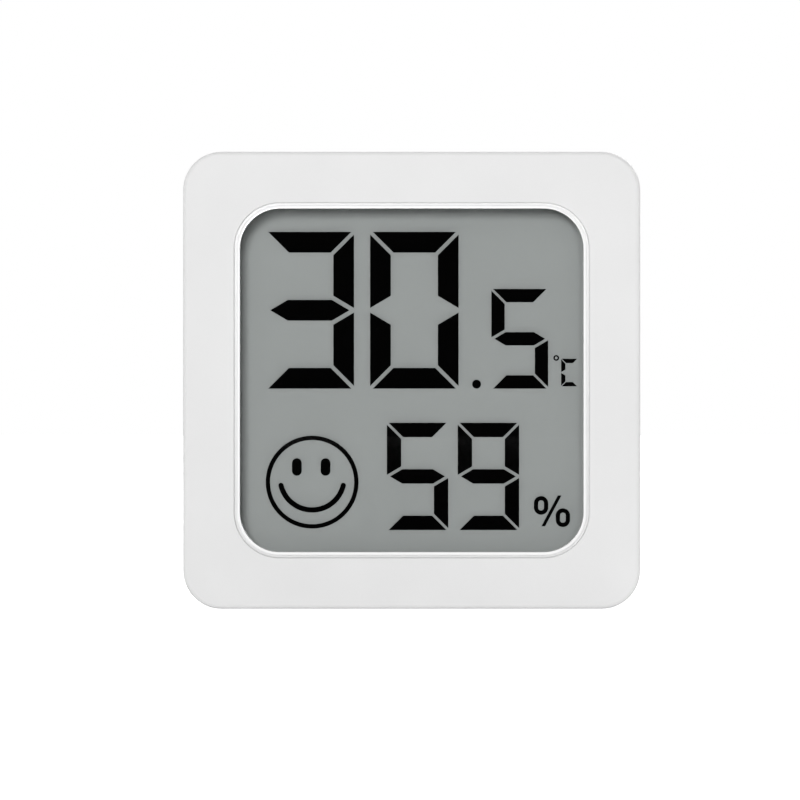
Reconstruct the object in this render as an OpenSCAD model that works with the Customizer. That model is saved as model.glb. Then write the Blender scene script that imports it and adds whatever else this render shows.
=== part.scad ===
// Small square indoor thermometer and hygrometer with a segment display.
// Seen from the front, X runs to the right and Z up. The front faces -Y.
// Depth is counted from the front face towards the rear, along +Y.
// The origin lies under the middle of the case, on the surface that it stands on.

/* [Case] */
// Width of the case
body_w = 44; // [43.5:0.5:60]
// Height of the case
body_h = 44; // [43.5:0.5:60]
// Depth of the case from front face to rear face
body_d = 14; // [13.8:0.1:18]
// Radius of the case corners seen from the front
corner_r = 3.7; // [2.4:0.1:6]
// Rounding of the front edge
front_edge_r = 0.4; // [0.2:0.05:1]
// Rounding of the rear edge
rear_edge_r = 0.8; // [0.3:0.05:1.5]
// Thickness of the side walls
case_wall = 1.6; // [1.2:0.1:1.8]
// Thickness of the front wall round the window
front_wall = 2; // [1.6:0.1:2.5]
// Thickness of the rear wall
rear_wall = 1.6; // [1.2:0.1:2.2]
// Depth of the front case, from front face to parting line
front_case_d = 9.5; // [8.5:0.1:10]
// Width and depth of the shadow line at the parting
parting_reveal = 0.25; // [0.1:0.05:0.5]
// Height of the lip that locates the two cases
lip_h = 0.9; // [0.5:0.1:1.2]
// Thickness of the locating lip
lip_t = 0.8; // [0.6:0.1:1]
// Clearance between parts that are assembled by hand
fit_gap = 0.15; // [0.1:0.01:0.25]

/* [Display window] */
// Width of the face between the case's side and the visible window
face_border = 5.45; // [5.2:0.05:8]
// Corner radius of the visible window
window_r = 3.86; // [3:0.02:5]
// Width of the bezel's crowned rim
rim_w = 0.28; // [0.22:0.01:0.4]
// Radius of the rim's crown
crown_r = 0.5; // [0.45:0.01:1]
// Width of the groove round the bezel's rim, seen as a fine line
rim_gap = 0.24; // [0.12:0.01:0.3]
// Depth of that groove
line_d = 0.25; // [0.1:0.05:0.6]
// Rounding of the front wall at that groove
opening_edge_r = 0.14; // [0.05:0.01:0.3]
// Depth of the rim from the front face to its flange
rim_d = 1.1; // [0.8:0.05:1.4]
// Thickness of the bezel's flange
flange_t = 0.4; // [0.3:0.05:0.7]
// How far the flange reaches past the window
flange_reach = 1.75; // [1.55:0.05:2.1]
// Thickness of the skirt round the window lens
skirt_t = 0.6; // [0.5:0.05:0.7]
// Thickness of the lens tape
tape_t = 0.1; // [0.05:0.01:0.2]
// Width of the lens tape
tape_w = 0.65; // [0.4:0.05:0.8]
// Thickness of the window lens
lens_t = 0.8; // [0.5:0.05:1.2]
// Air gap between the lens and the display
lens_air = 0.1; // [0.05:0.01:0.3]

/* [Display cell] */
// Display glass beyond the window, each side
glass_side = 1.65; // [1.3:0.05:2.2]
// Display glass beyond the window, below
glass_below = 1.45; // [1.25:0.05:2.2]
// Rear glass beyond the window, above
glass_above = 0.65; // [0.6:0.05:0.9]
// Ledge of the front glass that carries the contacts
contact_ledge = 2; // [1.6:0.05:2.3]
// Thickness of each glass
glass_t = 0.7; // [0.4:0.05:0.9]
// Thickness of the liquid crystal layer with its segments
segment_t = 0.1; // [0.05:0.01:0.15]
// Thickness of the polariser and of the reflector film
film_t = 0.15; // [0.1:0.01:0.25]
// Width of the seal between the glasses
seal_w = 0.45; // [0.3:0.05:0.5]
// Thickness of the display frame's side wall
frame_wall = 0.8; // [0.6:0.05:0.9]
// Length of the elastomer contact strip
strip_l = 31; // [20:0.5:31.5]
// Width of the elastomer contact strip
strip_w = 1.3; // [1:0.05:1.4]

/* [Display marks] */
// Width of a large temperature digit
large_w = 8.51; // [7:0.01:9]
// Height of a large temperature digit
large_h = 15.08; // [12:0.01:16]
// Stroke of a large temperature digit
large_stroke = 1.99; // [1.4:0.01:2.2]
// Width of the tenths digit
tenths_w = 5.46; // [4.5:0.01:5.6]
// Height of the tenths digit
tenths_h = 9.59; // [8:0.01:10]
// Stroke of the tenths digit
tenths_stroke = 1.28; // [0.8:0.01:1.4]
// Width of a humidity digit
humid_w = 5.91; // [5:0.01:6.2]
// Height of a humidity digit
humid_h = 10.32; // [8:0.01:11]
// Stroke of a humidity digit
humid_stroke = 1.38; // [0.9:0.01:1.5]
// Outer radius of the comfort face
face_r = 4.47; // [3.5:0.01:4.6]
// Stroke of the comfort face's outline
face_stroke = 0.42; // [0.2:0.01:0.6]

/* [Electronics] */
// Thickness of the circuit board
board_t = 1; // [0.8:0.1:1.2]
// Clearance between the board and the side walls
board_gap = 0.5; // [0.3:0.05:0.8]
// Diameter of the coin cell
cell_d = 20; // [16:0.1:21]
// Room between the board and the coin cell
contact_room = 0.85; // [0.5:0.05:1.2]
// Thickness of the contact springs
contact_t = 0.2; // [0.15:0.01:0.25]
// Side of the push switch
switch_size = 4.5; // [3.5:0.1:6]
// Height of the push switch's body
switch_h = 2.6; // [1.8:0.1:3.4]
// Travel of the unit button
button_travel = 0.25; // [0.15:0.01:0.3]
// Radius of the unit button
button_r = 1.8; // [1.5:0.05:2.2]

/* [Rear] */
// Drop of the battery door's centre below mid height
door_drop = 1; // [0:0.1:2.5]
// Thickness of the battery door's disc
door_t = 1.2; // [1:0.05:1.4]
// Clearance round the battery door
door_gap = 0.15; // [0.1:0.01:0.2]
// Thickness of the ledge that the door's lugs lock under
ledge_t = 1; // [0.8:0.05:1.1]
// Turn of the door from locked to open, degrees
door_turn = 45; // [35:1:65]
// Reach of each locking lug
lug_reach = 1.15; // [0.8:0.05:1.6]
// Width of the coin slot
coin_slot_w = 1.8; // [1.2:0.1:3]
// Thickness of the stand
stand_t = 1.8; // [1.4:0.1:2.2]
// Room between the stand's legs and the battery door
stand_door_gap = 1.35; // [1.1:0.05:2.2]
// Radius of the stand's hinge pins
stand_pin_r = 0.5; // [0.4:0.05:0.5]
// Opening angle of the stand, degrees
stand_turn = 40; // [30:1:42]
// Radius of the keyhole's entry
keyhole_r = 2.6; // [2.2:0.05:2.9]
// Radius of the keyhole's neck
keyhole_neck_r = 1.3; // [1:0.05:1.6]
// Rise from the keyhole's entry to the end of its neck
keyhole_rise = 3; // [2.5:0.1:3.4]
// Radius of the case screws' shanks
screw_r = 0.85; // [0.7:0.05:1]
// Radius of the case screws' heads
screw_head_r = 1.5; // [1.3:0.05:1.7]
// Inset of the case screws from the case's sides
screw_inset = 3.5; // [3.3:0.05:4]

/* [Hidden] */
$fn = 64;

// Colours
case_colour = [0.91, 0.91, 0.91];
bezel_colour = [0.98, 0.98, 0.98];
glass_colour = [0.75, 0.82, 0.8, 0.35];
lcd_grey = [0.58, 0.6, 0.59];
ink = [0.02, 0.02, 0.02];
tape_colour = [0.9, 0.9, 0.88];
metal = [0.78, 0.78, 0.8];
board_green = [0.1, 0.36, 0.2];

// Clearances
touch_gap = 0.05;
line_gap = 0.01;
bond_t = 0.01;
parting_gap = 0.02;
pin_gap = 0.05;
thread_gap = 0.02;
shank_gap = 0.1;
over = 1;
edge_root = 0.3;

// Places seen from the front
mid_h = body_h / 2;
inner_w = body_w - 2 * case_wall;
inner_h = body_h - 2 * case_wall;
inner_r = corner_r - case_wall;
rear_front = front_case_d + parting_gap;

// Window and bezel, as reaches past the edge of the visible window
window_w = body_w - 2 * face_border;
window_h = body_h - 2 * face_border;
opening_reach = rim_w + rim_gap;
rebate_reach = flange_reach + fit_gap;
pocket_reach = flange_reach - skirt_t;
lens_reach = pocket_reach - fit_gap / 2;
tape_reach = pocket_reach - fit_gap;
polariser_reach = pocket_reach - 2 * fit_gap;

// Depths of the display stack
tape_s = rim_d + flange_t;
lens_s = tape_s + tape_t;
polariser_s = lens_s + lens_t + lens_air;
glass_s = polariser_s + film_t;
segment_s = glass_s + glass_t;
rear_glass_s = segment_s + segment_t;
reflector_s = rear_glass_s + glass_t;
frame_s = reflector_s + film_t;

// Outlines of the display cell
window_bottom = mid_h - window_h / 2;
window_top = mid_h + window_h / 2;
glass_w = window_w + 2 * glass_side;
glass_bottom = window_bottom - glass_below;
rear_glass_top = window_top + glass_above;
front_glass_top = rear_glass_top + contact_ledge;
seal_inset = 0.1;
film_inset = 0.2;
strip_z = rear_glass_top + contact_ledge / 2;
pocket_half_w = glass_w / 2 + fit_gap;
frame_half_w = pocket_half_w + frame_wall;
frame_bottom = glass_bottom - fit_gap - frame_wall;
frame_top_wall = 0.7;
frame_top = front_glass_top + fit_gap + frame_top_wall;
frame_border = 2.6;
frame_top_border = 3.2;
strip_slot_gap = 0.1;

// Segment marks, placed from the middle of a window of the size that they are drawn for
marks_window = 32.93;
marks_scale = min(window_w, window_h) / marks_window;
mitre_share = 0.183;
joint_share = 0.6;
tip_share = 1.22;
joint_slope = 0.59;
large_left_x = -14.06;
large_right_x = -4;
temperature_z = -0.8;
dot_x = 6.24;
dot_r = 0.43;
tenths_x = 7.67;
degree_x = 13.91;
degree_z = 2.15;
degree_r = 0.28;
degree_hole_r = 0.13;
unit_x = 14.38;
unit_z = -0.58;
unit_w = 1.59;
unit_h = 2.65;
unit_stroke = 0.41;
humid_left_x = -2.39;
humid_right_x = 4.43;
humid_z = -14.41;
percent_r = 0.69;
percent_stroke = 0.41;
percent_hole_r = percent_r - percent_stroke;
percent_stretch = 0.42;
percent_upper = [12.45, -12.04];
percent_lower = [14.55, -13.22];
percent_slash_low = [12.48, -14.05];
percent_slash_high = [14.24, -11.08];
percent_slash_w = 0.35;
face_x = -9.58;
face_z = -9.8;
eye_x = 1.38;
eye_shift = -0.09;
eye_z = 1.46;
eye_r = 0.47;
eye_l = 1.68;
mouth_r = 3.08;
mouth_rise = 0.4;
mouth_stroke = 0.51;
mouth_dip = 13.5;

// Battery door and cell, counted from the rear face
door_z = mid_h - door_drop;
cell_r = cell_d / 2;
slim_case_d = 13.5;
slim_cell_t = 2.5;
full_cell_t = 3.2;
cell_t = body_d < slim_case_d ? slim_cell_t : full_cell_t;
cell_radial_gap = 0.3;
well_r = cell_r + cell_radial_gap;
hub_gap = 0.2;
hub_t = 1.3;
hub_out = well_r - hub_gap;
hub_in = hub_out - hub_t;
lug_out = hub_out + lug_reach;
lug_room = lug_out + door_gap;
lug_gap = 0.08;
lug_t = 0.78;
lug_root = 1;
lug_angle = 30;
notch_angle = 34;
stop_angle = 1;
lug_count = 3;
first_lug = 90;
door_rim = 0.35;
door_r = lug_out + door_rim;
well_wall = 1;
well_out = lug_room + well_wall;
door_recess = 0.1;
door_back = body_d - door_recess;
door_inner = door_back - door_t;
ledge_back = door_inner - touch_gap;
ledge_front = ledge_back - ledge_t;
lug_front = ledge_front - lug_gap - lug_t;
groove_front = lug_front - lug_gap;
cell_back = lug_front - touch_gap;
cell_front = cell_back - cell_t;
cap_step = 1.5;
cell_edge_r = 0.35;
cap_r = cell_r - cap_step;
cap_h = 0.25;
door_edge_r = 0.3;
coin_slot_l = 12;
coin_slot_d = 0.7;
mark_r = 0.45;
mark_d = 0.2;
mark_inset = 1.5;

// Circuit board, just in front of the cell
board_back = cell_front - contact_room;
board_s = board_back - board_t;
board_w = inner_w - 2 * board_gap;
board_h = inner_h - 2 * board_gap;
boss_r = 2.2;
boss_x = body_w / 2 - screw_inset;
boss_clear = 0.3;
boss_front = board_s + boss_clear;
notch_w = board_w / 2 - boss_x + boss_r + boss_clear;
notch_h = board_h / 2 - mid_h + screw_inset + boss_r + boss_clear;
post_r = 1.1;
post_inset = 1.7;
post_x = inner_w / 2 - post_inset;
post_rise = 10;
rib_rise = 6;
rib_w = 1.2;
rib_gap = 0.1;
rib_end = board_s - rib_gap;
glob_r = 3.8;
glob_h = min(0.95, board_s - frame_s - touch_gap);
glob_drop = 2;
glob_z = mid_h - glob_drop;
well_front = board_back + contact_t;

// Contact springs
spring_w = 3;
spring_base = 3;
spring_arm = 4;
spring_tip = 2.5;
spring_drop = 7.5;
spring_z = door_z - spring_drop;
blade_w = 3.6;
blade_reach = 2.4;
blade_slot_gap = 0.4;
blade_share = 0.7;
blade_back = cell_front + blade_share * cell_t;

// Stand, which fills the room between door and screws.
// Its heel meets the groove's floor just past its opening angle.
stand_gap = 0.25;
stand_recess = 0.3;
stand_boss_gap = 0.55;
stand_leg_x = door_r + stand_door_gap;
stand_out_x = boss_x - boss_r - stand_boss_gap;
stand_leg_w = stand_out_x - stand_leg_x;
stand_bottom = 2.6;
stand_back = body_d - stand_recess;
stand_axis_s = stand_back - stand_t / 2;
stand_axis_rise = 8.5;
stand_axis_z = door_z + stand_axis_rise;
stand_heel_share = 0.95;
stand_heel = stand_heel_share * stand_t / 2;
stop_margin = 1;
stand_stop = stand_turn + stop_margin;
swing_gap = 0.1;
stand_swing = norm([stand_t / 2, stand_heel]) + swing_gap;
stand_bend_r = 1.2;
stand_edge_share = 0.14;
stand_edge_r = stand_edge_share * stand_leg_w;
stand_pin_l = 0.95;
stand_floor = stand_axis_s - stand_t / 2 * cos(stand_stop) - stand_heel * sin(stand_stop);
stand_block_wall = 1;
stand_block_front = stand_floor - stand_block_wall;
stand_block_side = 1.4;
finger_w = 10;
finger_d = 1.5;
finger_r = 1;

// Keyhole, unit button, vents and screws
rear_inner = body_d - rear_wall;
wall_root = rear_inner + rear_wall / 2;
keyhole_drop = 7.6;
keyhole_z = body_h - keyhole_drop;
keyhole_pocket_gap = 0.3;
keyhole_pocket_r = keyhole_r + keyhole_pocket_gap;
keyhole_pocket_d = 2.4;
keyhole_box_wall = 0.9;
pocket_front = rear_inner - keyhole_pocket_d;
top_row_drop = 6.8;
top_row_z = body_h - top_row_drop;
side_x = 9.5;
button_recess = 0.25;
button_hole_gap = 0.2;
button_flange = 0.8;
button_flange_t = 0.6;
button_stem_r = 1.2;
button_edge_r = 0.35;
button_back = body_d - button_recess;
flange_back = rear_inner - touch_gap;
sleeve_t = 0.75;
sleeve_l = 1.8;
plunger_r = 1;
plunger_gap = 0.1;
plunger_up = 1;
plunger_down = 0.8;
switch_back = board_back + switch_h;
plunger_back = switch_back + plunger_up;
vent_count = 4;
vent_pitch = 1.8;
vent_w = 0.9;
vent_l = 6;
top_vent_l = 1.8;
top_vent_gap = 0.15;
top_vent_s = rear_inner - top_vent_gap;
screw_head_h = 1;
screw_edge_r = 0.4;
screw_seat_d = 2.6;
screw_seat = body_d - screw_seat_d;
head_gap = 0.1;
screw_end_gap = 0.4;
screw_cover = 0.8;
screw_front = boss_front + screw_cover;
recess_w = 0.4;
recess_l = 1.7;
recess_d = 0.6;

// Small parts on the board
chip_l = 1.6;
chip_w = 0.8;
resistor_h = 0.45;
capacitor_h = 0.8;
chip_pitch = 2.2;
chip_gap = 2.4;
chip_x = well_out + chip_gap;
resistor_rows = [-2.5:1:2.5];
capacitor_rows = [-2.5, -1.5, 1.5, 2.5];
sensor_w = 6.5;
sensor_h = 5;
sensor_t = 0.6;
sensor_lift = 2.5;
sensor_s = board_back + sensor_lift;
sensor_pin_r = 0.25;
sensor_pin_x = 1.3;
bead_r = 0.9;
bead_gap = 4.8;
bead_x = side_x + bead_gap;
bead_lift = 2.2;
bead_s = board_back + bead_lift;
bead_pin_r = 0.2;
bead_pin_x = 0.4;

// Turns a drawing made as seen from the front to stand at a depth, its own Z towards the viewer
module at_depth(s) {
    translate([0, s - body_d / 2, 0]) rotate([90, 0, 0]) children();
}

// Extrudes an outline seen from the front between two depths
module slab(s0, s1) {
    at_depth(s1) linear_extrude(height = s1 - s0) children();
}

module rounded(w, h, r) {
    square([w - 2 * r, h], center = true);
    square([w, h - 2 * r], center = true);
    for (x = [-1, 1], z = [-1, 1]) translate([x * (w / 2 - r), z * (h / 2 - r)]) circle(r);
}

module at_middle() {
    translate([0, mid_h]) children();
}

// The visible window's outline, or one that reaches past it
module window_outline(reach = 0) {
    at_middle() rounded(window_w + 2 * reach, window_h + 2 * reach, window_r + reach);
}

module case_outline(inset = 0) {
    at_middle() rounded(body_w - 2 * inset, body_h - 2 * inset, corner_r - inset);
}

// A bar with round ends, from one point straight up
module upright_slot(w, l) {
    square([w, l - w], center = true);
    for (z = [-1, 1]) translate([0, z * (l - w) / 2]) circle(w / 2);
}

// Carries a profile round a rounded rectangle: its X points outwards and its Y to the viewer
module swept(w, h, r) {
    for (q = [0:3]) {
        side = q % 2 == 0 ? w : h;
        run = q % 2 == 0 ? h : w;
        rotate([0, 0, 90 * q]) {
            translate([side / 2, run / 2 - r, 0]) rotate([90, 0, 0]) linear_extrude(height = run - 2 * r)
                children();
            translate([side / 2 - r, run / 2 - r, 0]) rotate_extrude(angle = 90) translate([r, 0]) children();
        }
    }
}

// Profile of a rounded edge, with a root inside the block that it belongs to
module round_edge(r) {
    intersection() {
        circle(r);
        square(r);
    }
    translate([-edge_root, -edge_root]) square([edge_root, edge_root + r]);
    translate([-edge_root, -edge_root]) square([edge_root + r, edge_root]);
}

// Case outline from depth s0 to s1, with its edge rounded at s0 or, for the rear, at s1
module case_block(s0, s1, r, rear = false) {
    w = body_w - 2 * r;
    h = body_h - 2 * r;
    slab(s0, s1) case_outline(r);
    slab(rear ? s0 : s0 + r, rear ? s1 - r : s1) case_outline();
    at_depth(rear ? s1 - r : s0 + r) at_middle() mirror([0, 0, rear ? 1 : 0]) swept(w, h, corner_r - r)
        round_edge(r);
}

// Disc about the middle, from depth s0 to s1, with a rounded edge at the rear
module round_disc(s0, s1, r, edge) {
    h = s1 - s0;
    at_depth(s0) mirror([0, 0, 1]) rotate_extrude() {
        square([r - edge, h]);
        square([r, h - edge]);
        translate([r - edge, h - edge]) circle(edge);
    }
}

module at_corners() {
    for (x = [-1, 1], z = [screw_inset, body_h - screw_inset]) translate([x * boss_x, z]) children();
}

// Front shell with its window, corner bosses and ribs
module front_case() {
    color(case_colour) difference() {
        union() {
            difference() {
                case_block(0, front_case_d, front_edge_r);
                slab(front_wall, front_case_d + over) at_middle() rounded(inner_w, inner_h, inner_r);
            }
            intersection() {
                slab(boss_front, front_case_d) at_corners() circle(boss_r);
                slab(boss_front, front_case_d) case_outline(case_wall / 2);
            }
            frame_ribs();
        }
        slab(-over, front_wall + over) window_outline(opening_reach);
        slab(rim_d, front_wall + over) window_outline(rebate_reach);
        at_depth(0) at_middle() swept(window_w, window_h, window_r)
            translate([opening_reach, 0]) opening_edge();
        slab(screw_front - screw_end_gap, front_case_d + over) at_corners() circle(screw_r + thread_gap);
    }
}

// What the rounding of the window's edge takes away
module opening_edge() {
    difference() {
        translate([-opening_edge_r / 2, -opening_edge_r]) square([1.5 * opening_edge_r, 2 * opening_edge_r]);
        translate([opening_edge_r, -opening_edge_r]) circle(opening_edge_r);
    }
}

// Ribs on the inner walls that keep the display frame in place
module frame_ribs() {
    side_l = inner_w / 2 - frame_half_w - fit_gap;
    low_l = frame_bottom - fit_gap - case_wall;
    root = case_wall / 2;
    slab(front_wall - root, rib_end) {
        for (x = [-1, 1], z = [-1, 1])
            translate([x * (inner_w / 2 - side_l / 2 + root / 2), mid_h + z * rib_rise])
                square([side_l + root, rib_w], center = true);
        for (x = [-1, 1])
            translate([x * rib_rise, case_wall + low_l / 2 - root / 2])
                square([rib_w, low_l + root], center = true);
    }
}

// Ring whose rim is highest at the window, and whose flange clamps behind the front wall
module bezel_ring() {
    color(bezel_colour) at_depth(0) at_middle() swept(window_w, window_h, window_r) bezel_profile();
}

module bezel_profile() {
    intersection() {
        translate([0, -crown_r]) circle(crown_r);
        translate([0, -crown_r]) square([rim_w, crown_r]);
    }
    translate([0, -tape_s]) square([rim_w, tape_s - crown_r]);
    translate([0, -tape_s]) square([opening_reach - line_gap, tape_s - line_d]);
    translate([0, -tape_s]) square([flange_reach, flange_t]);
    translate([flange_reach - skirt_t, -glass_s]) square([skirt_t, glass_s - rim_d]);
}

module lens_tape() {
    color(tape_colour) slab(tape_s, lens_s) difference() {
        window_outline(tape_reach);
        window_outline(tape_reach - tape_w);
    }
}

module window_lens() {
    color(glass_colour) slab(lens_s, lens_s + lens_t) window_outline(lens_reach);
}

module front_polariser() {
    color(glass_colour) slab(polariser_s, glass_s - bond_t) window_outline(polariser_reach);
}

// Rectangle from one height to another, centred on the middle of the case
module panel(w, low, high) {
    translate([-w / 2, low]) square([w, high - low]);
}

module front_glass() {
    color(glass_colour) slab(glass_s, segment_s) panel(glass_w, glass_bottom, front_glass_top);
}

module rear_glass() {
    color(glass_colour) slab(rear_glass_s, reflector_s) panel(glass_w, glass_bottom, rear_glass_top);
}

module glass_seal() {
    color(lcd_grey) slab(segment_s, rear_glass_s) difference() {
        panel(glass_w - 2 * seal_inset, glass_bottom + seal_inset, rear_glass_top - seal_inset);
        panel(
            glass_w - 2 * (seal_inset + seal_w),
            glass_bottom + seal_inset + seal_w, rear_glass_top - seal_inset - seal_w
        );
    }
}

module reflector_film() {
    color(lcd_grey) slab(reflector_s + bond_t, frame_s)
        panel(glass_w - 2 * film_inset, glass_bottom + film_inset, rear_glass_top - film_inset);
}

// Outline of one segment of a digit, by its letter, with mitred corners and pointed joints
function top_bar(w, h, t, d) = [[d, h], [w - d, h], [w - t - d, h - t], [t + d, h - t]];
function right_bar(w, h, t, d, j) =
    [[w, h - d], [w - t, h - t - d], [w - t, h / 2 + j + joint_slope * t], [w, h / 2 + j]];
function middle_bar(w, h, t, tip) =
    let (shoulder = tip + t / 2 / joint_slope)
    [
        [tip, h / 2], [shoulder, h / 2 + t / 2], [w - shoulder, h / 2 + t / 2],
        [w - tip, h / 2], [w - shoulder, h / 2 - t / 2], [shoulder, h / 2 - t / 2]
    ];
function flip_x(points, w) = [for (p = points) [w - p[0], p[1]]];
function flip_z(points, h) = [for (p = points) [p[0], h - p[1]]];
function segment(letter, w, h, t) =
    let (
        gap = mitre_share * t,
        d = gap / sqrt(2),
        j = joint_share * gap,
        right = right_bar(w, h, t, d, j)
    )
    letter == "a" ? top_bar(w, h, t, d) :
    letter == "b" ? right :
    letter == "c" ? flip_z(right, h) :
    letter == "d" ? flip_z(top_bar(w, h, t, d), h) :
    letter == "e" ? flip_x(flip_z(right, h), w) :
    letter == "f" ? flip_x(right, w) :
    middle_bar(w, h, t, tip_share * gap);

// Lit segments of one digit, its lower left corner at the given place from the window's middle
module digit(letters, x, z, w, h, t) {
    for (letter = letters) mark() translate([x, z]) polygon(segment(letter, w, h, t));
}

module mark() {
    slab(segment_s + bond_t, rear_glass_s - bond_t) at_middle() scale(marks_scale) children();
}

module ring(r, hole_r) {
    difference() {
        circle(r);
        circle(hole_r);
    }
}

module temperature_segments() {
    color(ink) {
        digit("abcdg", large_left_x, temperature_z, large_w, large_h, large_stroke);
        digit("abcdef", large_right_x, temperature_z, large_w, large_h, large_stroke);
        mark() translate([dot_x, temperature_z + dot_r]) circle(dot_r);
        digit("acdfg", tenths_x, temperature_z, tenths_w, tenths_h, tenths_stroke);
        mark() translate([degree_x, degree_z]) ring(degree_r, degree_hole_r);
        digit("adef", unit_x, unit_z, unit_w, unit_h, unit_stroke);
    }
}

module humidity_segments() {
    color(ink) {
        digit("acdfg", humid_left_x, humid_z, humid_w, humid_h, humid_stroke);
        digit("abcdfg", humid_right_x, humid_z, humid_w, humid_h, humid_stroke);
        for (place = [percent_upper, percent_lower]) mark() translate(place) difference() {
            upright_slot(2 * percent_r, 2 * percent_r + percent_stretch);
            upright_slot(2 * percent_hole_r, 2 * percent_hole_r + percent_stretch);
        }
        mark() polygon([
            percent_slash_low, percent_slash_low + [percent_slash_w, 0],
            percent_slash_high + [percent_slash_w / 2, 0], percent_slash_high - [percent_slash_w / 2, 0]
        ]);
    }
}

module comfort_face_segments() {
    color(ink) {
        mark() translate([face_x, face_z]) ring(face_r, face_r - face_stroke);
        for (side = [-1, 1]) mark() translate([face_x + eye_shift + side * eye_x, face_z + eye_z])
            upright_slot(2 * eye_r, eye_l);
        mark() translate([face_x, face_z + mouth_rise]) mouth();
    }
}

// Arc below the eyes, with round ends
module mouth() {
    far = 2 * mouth_r;
    ends = [180 + mouth_dip, -mouth_dip];
    intersection() {
        ring(mouth_r + mouth_stroke / 2, mouth_r - mouth_stroke / 2);
        polygon([
            [0, 0], far * [cos(ends[0]), sin(ends[0])], [-far, -far],
            [far, -far], far * [cos(ends[1]), sin(ends[1])]
        ]);
    }
    for (end = ends) translate(mouth_r * [cos(end), sin(end)]) circle(mouth_stroke / 2);
}

// Rubber strip that carries the display's signals from the board
module contact_strip() {
    color("dimgray") slab(segment_s, board_s) translate([0, strip_z])
        square([strip_l, strip_w], center = true);
}

// Tray behind the glass that clamps it to the bezel's skirt
module display_frame() {
    color("white") difference() {
        slab(glass_s + fit_gap, board_s) panel(2 * frame_half_w, frame_bottom, frame_top);
        slab(glass_s - over, frame_s)
            panel(2 * pocket_half_w, glass_bottom - fit_gap, front_glass_top + fit_gap);
        slab(frame_s - over, board_s + over)
            panel(glass_w - 2 * frame_border, glass_bottom + frame_border, rear_glass_top - frame_top_border);
        slab(frame_s - over, board_s + over) translate([0, strip_z])
            square([strip_l + 2 * strip_slot_gap, strip_w + 2 * strip_slot_gap], center = true);
    }
}

module main_board() {
    color(board_green) slab(board_s, board_back) at_middle() difference() {
        square([board_w, board_h], center = true);
        for (x = [-1, 1], z = [-1, 1]) translate([x * board_w / 2, z * board_h / 2])
            square([2 * notch_w, 2 * notch_h], center = true);
    }
}

// Resin dome over the controller, on the board's front
module controller_glob() {
    ball_r = (glob_r * glob_r + glob_h * glob_h) / (2 * glob_h);
    color(ink) at_depth(board_s) translate([0, glob_z, 0]) rotate_extrude() intersection() {
        translate([0, glob_h - ball_r]) circle(ball_r, $fn = 256);
        square([2 * glob_r, 2 * glob_h]);
    }
}

module chips(side, rows, h) {
    slab(board_back, board_back + h) for (row = rows)
        translate([side * chip_x, door_z + row * chip_pitch]) square([chip_l, chip_w], center = true);
}

module chip_resistors() {
    color("black") chips(-1, resistor_rows, resistor_h);
}

module chip_capacitors() {
    color("tan") chips(1, capacitor_rows, capacitor_h);
}

// Coated sensing plate on two pins, behind the vents
module humidity_sensor() {
    color("white") {
        slab(sensor_s, sensor_s + sensor_t) translate([side_x, top_row_z])
            square([sensor_w, sensor_h], center = true);
        slab(board_back, sensor_s + sensor_t / 2) for (x = [-1, 1])
            translate([side_x + x * sensor_pin_x, top_row_z - sensor_h / 2 + 2 * sensor_pin_r])
                circle(sensor_pin_r);
    }
}

module thermistor() {
    color("goldenrod") {
        at_depth(bead_s) translate([bead_x, top_row_z, 0]) sphere(bead_r);
        slab(board_back, bead_s) for (x = [-1, 1])
            translate([bead_x + x * bead_pin_x, top_row_z]) circle(bead_pin_r);
    }
}

module at_button() {
    translate([-side_x, top_row_z]) children();
}

module unit_switch() {
    color(metal) difference() {
        slab(board_back, switch_back) at_button() square(switch_size, center = true);
        slab(switch_back - plunger_down - 2 * button_travel, switch_back + over) at_button()
            circle(plunger_r + plunger_gap);
    }
}

module switch_plunger() {
    color("dimgray") slab(switch_back - plunger_down, plunger_back) at_button() circle(plunger_r);
}

module unit_button() {
    color(case_colour) {
        translate([-side_x, 0, top_row_z])
            round_disc(flange_back - button_flange_t, button_back, button_r, button_edge_r);
        slab(flange_back - button_flange_t, flange_back) at_button() circle(button_r + button_flange);
        slab(plunger_back, flange_back) at_button() circle(button_stem_r);
    }
}

// Leaf on the board whose arm presses on the cell's cap
module negative_contact() {
    low = board_back;
    high = cell_front - touch_gap - contact_t;
    base_end = spring_z + spring_base;
    arm_end = base_end + spring_arm;
    tip_end = arm_end + spring_tip;
    color(metal) translate([-spring_w / 2, -body_d / 2, 0]) rotate([90, 0, 90])
        linear_extrude(height = spring_w) polygon([
            [low, spring_z], [low, base_end], [high, arm_end], [high, tip_end],
            [high + contact_t, tip_end], [high + contact_t, arm_end - contact_t / 2],
            [low + contact_t, base_end - contact_t / 2], [low + contact_t, spring_z]
        ]);
}

// Angle on the board whose blade presses on the cell's side
module positive_contact() {
    face = cell_r + touch_gap;
    color(metal) {
        slab(board_back, blade_back) translate([face, door_z - blade_w / 2]) square([contact_t, blade_w]);
        slab(board_back, board_back + contact_t) translate([face, door_z - blade_w / 2])
            square([blade_reach, blade_w]);
    }
}

module coin_cell() {
    color(metal) {
        translate([0, 0, door_z]) round_disc(cell_front + cap_h, cell_back, cell_r, cell_edge_r);
        slab(cell_front, cell_back - cap_h) translate([0, door_z]) circle(cap_r);
    }
}

// Part of a ring about the door's axis, between two depths
module sector(s0, s1, r0, r1, middle, span) {
    at_depth(s1) translate([0, door_z, 0]) rotate([0, 0, middle - span / 2]) rotate_extrude(angle = span)
        translate([r0, 0]) square([r1 - r0, s1 - s0]);
}

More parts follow.
